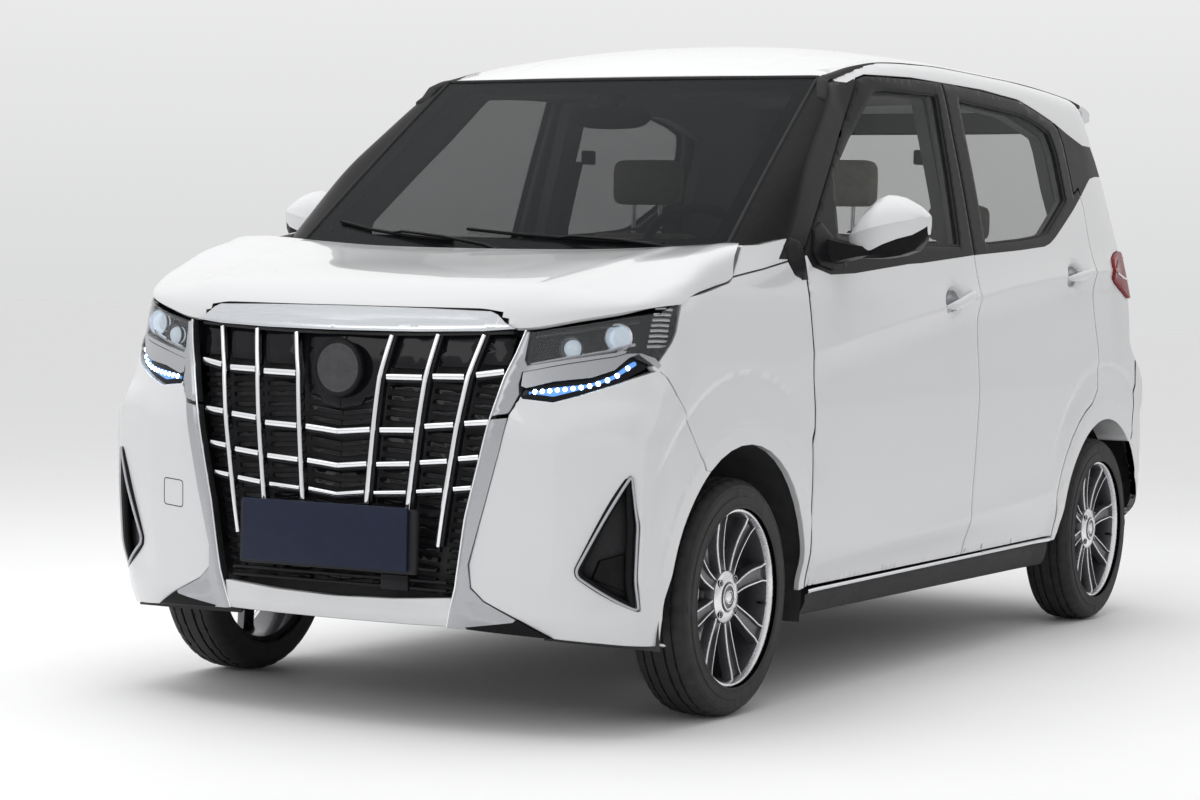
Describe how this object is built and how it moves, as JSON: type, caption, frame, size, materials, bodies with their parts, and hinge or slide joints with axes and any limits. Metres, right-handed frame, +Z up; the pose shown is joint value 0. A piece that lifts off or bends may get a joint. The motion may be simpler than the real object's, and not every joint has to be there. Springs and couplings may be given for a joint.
{
  "type": "kei car",
  "caption": "Small upright five-door passenger car with a tall upright slatted grille, hinged doors, bonnet and tailgate, and steered front wheels.",
  "frame": {"origin": "centre of the bounding box's bottom face, on the ground between the wheels", "axes": "+X towards the car's left side, +Y towards the rear, +Z up; the front faces -Y"},
  "size_m": [1.86, 3.49, 1.644],
  "materials": {
    "paint": "gloss",
    "glass": "gloss",
    "lens": "gloss",
    "red_lens": "gloss",
    "dark_gloss": "gloss",
    "bright": "satin",
    "mirror_shell": "gloss",
    "dark_plastic": "satin",
    "steel": "satin",
    "engine_block": "matte",
    "seat_cloth": "matte",
    "plate": "satin",
    "tyre": "matte",
    "alloy": "satin"
  },
  "bodies": {
    "body": {"body_side_left": "paint", "body_side_right": "paint", "bulkhead": "dark_plastic", "centre_mirror": "dark_plastic", "cowl_side_left": "paint", "cowl_side_right": "paint", "dashboard": "dark_plastic", "engine": "engine_block", "exhaust": "steel", "floor_pan": "steel", "front_bumper": "paint", "front_frame": "steel", "front_plate": "plate", "front_seats": "seat_cloth", "front_wing_left": "paint", "front_wing_right": "paint", "fuel_tank": "dark_plastic", "grille": "dark_gloss", "grille_bars": "bright", "headlamp_left": "lens", "headlamp_right": "lens", "rear_axle": "steel", "rear_bumper": "paint", "rear_seat": "seat_cloth", "roof_panel": "paint", "side_skirts": "dark_plastic", "tail_frame": "paint", "tail_lamp_left": "red_lens", "tail_lamp_right": "red_lens", "wheel_housing_left": "dark_plastic", "wheel_housing_right": "dark_plastic", "windscreen": "glass", "wipers": "dark_plastic"},
    "front_door_left": {"front_door_left": "paint", "front_glass_left": "glass", "door_mirror_left": "mirror_shell"},
    "front_door_right": {"front_door_right": "paint", "front_glass_right": "glass", "door_mirror_right": "mirror_shell"},
    "rear_door_left": {"rear_door_left": "paint", "rear_glass_left": "glass"},
    "rear_door_right": {"rear_door_right": "paint", "rear_glass_right": "glass"},
    "bonnet": {"bonnet": "paint", "bonnet_strip": "bright"},
    "tailgate": {"tailgate": "paint", "tailgate_glass": "glass", "rear_plate": "plate"},
    "knuckle_left": {"knuckle_left": "steel"},
    "knuckle_right": {"knuckle_right": "steel"},
    "wheel_fl": {"rim_fl": "alloy", "tyre_fl": "tyre"},
    "wheel_fr": {"rim_fr": "alloy", "tyre_fr": "tyre"},
    "wheel_rl": {"rim_rl": "alloy", "tyre_rl": "tyre"},
    "wheel_rr": {"rim_rr": "alloy", "tyre_rr": "tyre"},
    "steering_wheel": {"steering_wheel": "dark_plastic"}
  },
  "joints": [
    {"name": "steer_left", "type": "hinge", "parent": "body", "child": "knuckle_left", "pos_m": [0.6, -1.1215, 0.2725], "axis": [0, 0, 1], "range_deg": [-32, 32]},
    {"name": "steer_right", "type": "hinge", "parent": "body", "child": "knuckle_right", "pos_m": [-0.6, -1.1215, 0.2725], "axis": [0, 0, 1], "range_deg": [-32, 32]},
    {"name": "wheel_spin_fl", "type": "hinge", "parent": "knuckle_left", "child": "wheel_fl", "pos_m": [0.646, -1.1215, 0.2725], "axis": [1, 0, 0], "continuous": true},
    {"name": "wheel_spin_fr", "type": "hinge", "parent": "knuckle_right", "child": "wheel_fr", "pos_m": [-0.646, -1.1215, 0.2725], "axis": [1, 0, 0], "continuous": true},
    {"name": "wheel_spin_rl", "type": "hinge", "parent": "body", "child": "wheel_rl", "pos_m": [0.646, 1.3335, 0.2725], "axis": [1, 0, 0], "continuous": true},
    {"name": "wheel_spin_rr", "type": "hinge", "parent": "body", "child": "wheel_rr", "pos_m": [-0.646, 1.3335, 0.2725], "axis": [1, 0, 0], "continuous": true},
    {"name": "front_door_left_hinge", "type": "hinge", "parent": "body", "child": "front_door_left", "pos_m": [0.736, -0.794, 0.6], "axis": [0, 0, 1], "range_deg": [-65, 0]},
    {"name": "front_door_right_hinge", "type": "hinge", "parent": "body", "child": "front_door_right", "pos_m": [-0.736, -0.794, 0.6], "axis": [0, 0, 1], "range_deg": [0, 65]},
    {"name": "rear_door_left_hinge", "type": "hinge", "parent": "body", "child": "rear_door_left", "pos_m": [0.736, 0.312, 0.6], "axis": [0, 0, 1], "range_deg": [-65, 0]},
    {"name": "rear_door_right_hinge", "type": "hinge", "parent": "body", "child": "rear_door_right", "pos_m": [-0.736, 0.312, 0.6], "axis": [0, 0, 1], "range_deg": [0, 65]},
    {"name": "bonnet_hinge", "type": "hinge", "parent": "body", "child": "bonnet", "pos_m": [0, -0.995, 1.092], "axis": [1, 0, 0], "range_deg": [-50, 0]},
    {"name": "tailgate_hinge", "type": "hinge", "parent": "body", "child": "tailgate", "pos_m": [0, 1.5435, 1.598], "axis": [1, 0, 0], "range_deg": [0, 72]},
    {"name": "steering_wheel_turn", "type": "hinge", "parent": "body", "child": "steering_wheel", "pos_m": [0.272, -0.4378, 1.0153], "axis": [0, 0.9063, 0.4226], "range_deg": [-490, 490]}
  ],
  "couplings": [
    {"joint": "steer_right", "follows": "steer_left", "ratio": 1},
    {"joint": "steering_wheel_turn", "follows": "steer_left", "ratio": 15}
  ]
}
